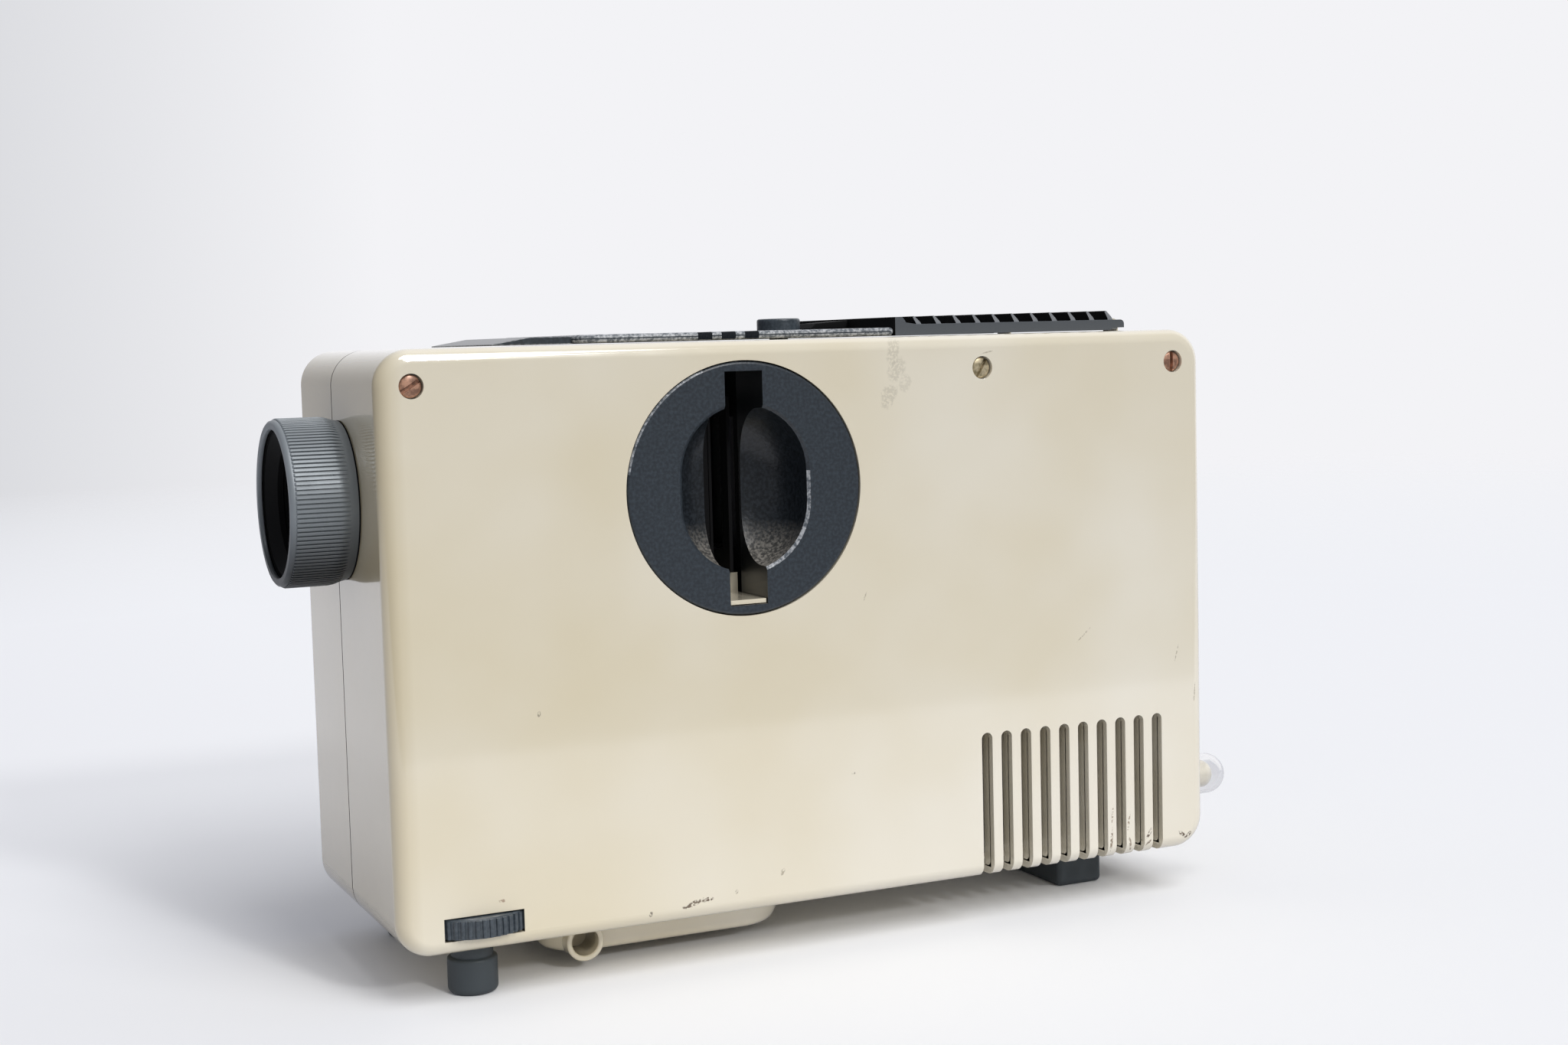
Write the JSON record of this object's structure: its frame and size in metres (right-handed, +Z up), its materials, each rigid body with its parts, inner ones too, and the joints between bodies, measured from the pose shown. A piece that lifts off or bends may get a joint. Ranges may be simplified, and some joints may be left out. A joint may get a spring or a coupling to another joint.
{
  "type": "slide projector",
  "caption": "Compact slide projector in beige half shells, with a slide port right through, focusing lens, louvred lamp lid, push button and screw feet.",
  "frame": {"origin": "middle of the footprint, on the surface that the feet stand on", "axes": "+X runs along the optical axis from the lens to the rear, +Z up, and the side with the vents and the screws faces -Y"},
  "size_m": [0.2898, 0.0974, 0.1795],
  "materials": {
    "beige_gloss_plastic": "glossy warm beige, slightly yellowed",
    "dark_grained_plastic": "dark blue-grey with a fine moulded grain",
    "black_plastic": "satin black",
    "anodised_ring": "dark grey anodised, knurled",
    "grey_rubber": "matt dark grey rubber",
    "optical_glass": "clear coated lens glass",
    "heat_filter_glass": "pale green heat-absorbing glass",
    "clear_plastic": "clear plastic with fine scuffs",
    "zinc_plated_steel": "dull zinc plate",
    "coppery_screw": "tarnished, coppery",
    "reflector_mirror": "polished reflector",
    "socket_ceramic": "off-white unglazed ceramic",
    "core_lamination": "varnished dark grey laminations",
    "winding_tape": "yellow insulating tape over copper winding",
    "spring_steel": "bright spring steel"
  },
  "bodies": {
    "case": {"aperture_plate": "zinc_plated_steel", "belly_pan": "beige_gloss_plastic", "chassis_plate": "zinc_plated_steel", "condenser_housing": "zinc_plated_steel", "fan_motor": "zinc_plated_steel", "fan_shroud": "black_plastic", "far_bumper_core": "beige_gloss_plastic", "far_bumper_dome": "clear_plastic", "far_hinge_pin": "coppery_screw", "far_inlet_pin": "zinc_plated_steel", "far_port": "dark_grained_plastic", "far_shell": "beige_gloss_plastic", "foot_bridge": "black_plastic", "front_case_screw": "coppery_screw", "front_condenser": "optical_glass", "gate_block": "black_plastic", "guide_rail": "beige_gloss_plastic", "heat_filter": "heat_filter_glass", "lamp": "optical_glass", "lamp_bracket": "zinc_plated_steel", "lamp_house": "zinc_plated_steel", "lamp_socket": "socket_ceramic", "lens_mount": "black_plastic", "lower_gate_spring": "spring_steel", "mains_inlet": "black_plastic", "middle_case_screw": "coppery_screw", "near_bumper_core": "beige_gloss_plastic", "near_bumper_dome": "clear_plastic", "near_hinge_pin": "coppery_screw", "near_inlet_pin": "zinc_plated_steel", "near_port": "dark_grained_plastic", "near_shell": "beige_gloss_plastic", "power_switch": "black_plastic", "rear_case_screw": "coppery_screw", "rear_condenser": "optical_glass", "rear_foot": "grey_rubber", "reflector": "reflector_mirror", "terminal_block": "socket_ceramic", "thermal_cutout": "black_plastic", "top_deck": "dark_grained_plastic", "transformer_clamp": "zinc_plated_steel", "transformer_coil": "winding_tape", "transformer_core": "core_lamination", "upper_gate_spring": "spring_steel"},
    "lens": {"lens_barrel": "black_plastic", "lens_cone_ring": "black_plastic", "front_lens": "optical_glass", "middle_lens": "optical_glass", "rear_lens": "optical_glass"},
    "focus_ring": {"focus_ring": "anodised_ring"},
    "near_wheel": {"near_thumbwheel": "dark_grained_plastic"},
    "far_wheel": {"far_thumbwheel": "dark_grained_plastic"},
    "near_foot": {"near_foot": "grey_rubber"},
    "far_foot": {"far_foot": "grey_rubber"},
    "button": {"power_button": "dark_grained_plastic"},
    "lid": {"lamp_lid": "dark_grained_plastic"},
    "impeller": {"fan_impeller": "dark_grained_plastic"},
    "pressure_plate": {"pressure_plate": "black_plastic"}
  },
  "joints": [
    {"name": "focus_slide", "type": "slide", "parent": "case", "child": "lens", "axis": [-1, 0, 0], "range_m": [0, 0.012]},
    {"name": "focus_turn", "type": "hinge", "parent": "lens", "child": "focus_ring", "pos_m": [-0.1366, -0.0025, 0.1326], "axis": [-1, 0, 0], "range_deg": [0, 270]},
    {"name": "near_wheel_turn", "type": "hinge", "parent": "case", "child": "near_wheel", "pos_m": [-0.10305, -0.0319, 0.0208], "axis": [0, 0, 1], "range_deg": [0, 2160]},
    {"name": "far_wheel_turn", "type": "hinge", "parent": "case", "child": "far_wheel", "pos_m": [-0.10305, 0.0319, 0.0208], "axis": [0, 0, 1], "range_deg": [0, 2160]},
    {"name": "near_foot_slide", "type": "slide", "parent": "case", "child": "near_foot", "axis": [0, 0, -1], "range_m": [0, 0.012]},
    {"name": "far_foot_slide", "type": "slide", "parent": "case", "child": "far_foot", "axis": [0, 0, -1], "range_m": [0, 0.012]},
    {"name": "power_press", "type": "slide", "parent": "case", "child": "button", "axis": [0, 0, -1], "range_m": [0, 0.002], "stiffness_N_per_m": 400},
    {"name": "lid_hinge", "type": "hinge", "parent": "case", "child": "lid", "pos_m": [0.10505, 0, 0.1753], "axis": [0, 1, 0], "range_deg": [0, 95]},
    {"name": "fan_spin", "type": "hinge", "parent": "case", "child": "impeller", "pos_m": [0.06495, 0, 0.0598], "axis": [0, 0, 1], "continuous": true},
    {"name": "gate_press", "type": "slide", "parent": "case", "child": "pressure_plate", "axis": [1, 0, 0], "range_m": [0, 0.0012], "stiffness_N_per_m": 200}
  ],
  "couplings": [
    {"joint": "focus_turn", "follows": "focus_slide", "rad_per_m": 392.69},
    {"joint": "near_wheel_turn", "follows": "near_foot_slide", "rad_per_m": 3141.6},
    {"joint": "far_wheel_turn", "follows": "far_foot_slide", "rad_per_m": 3141.6}
  ]
}
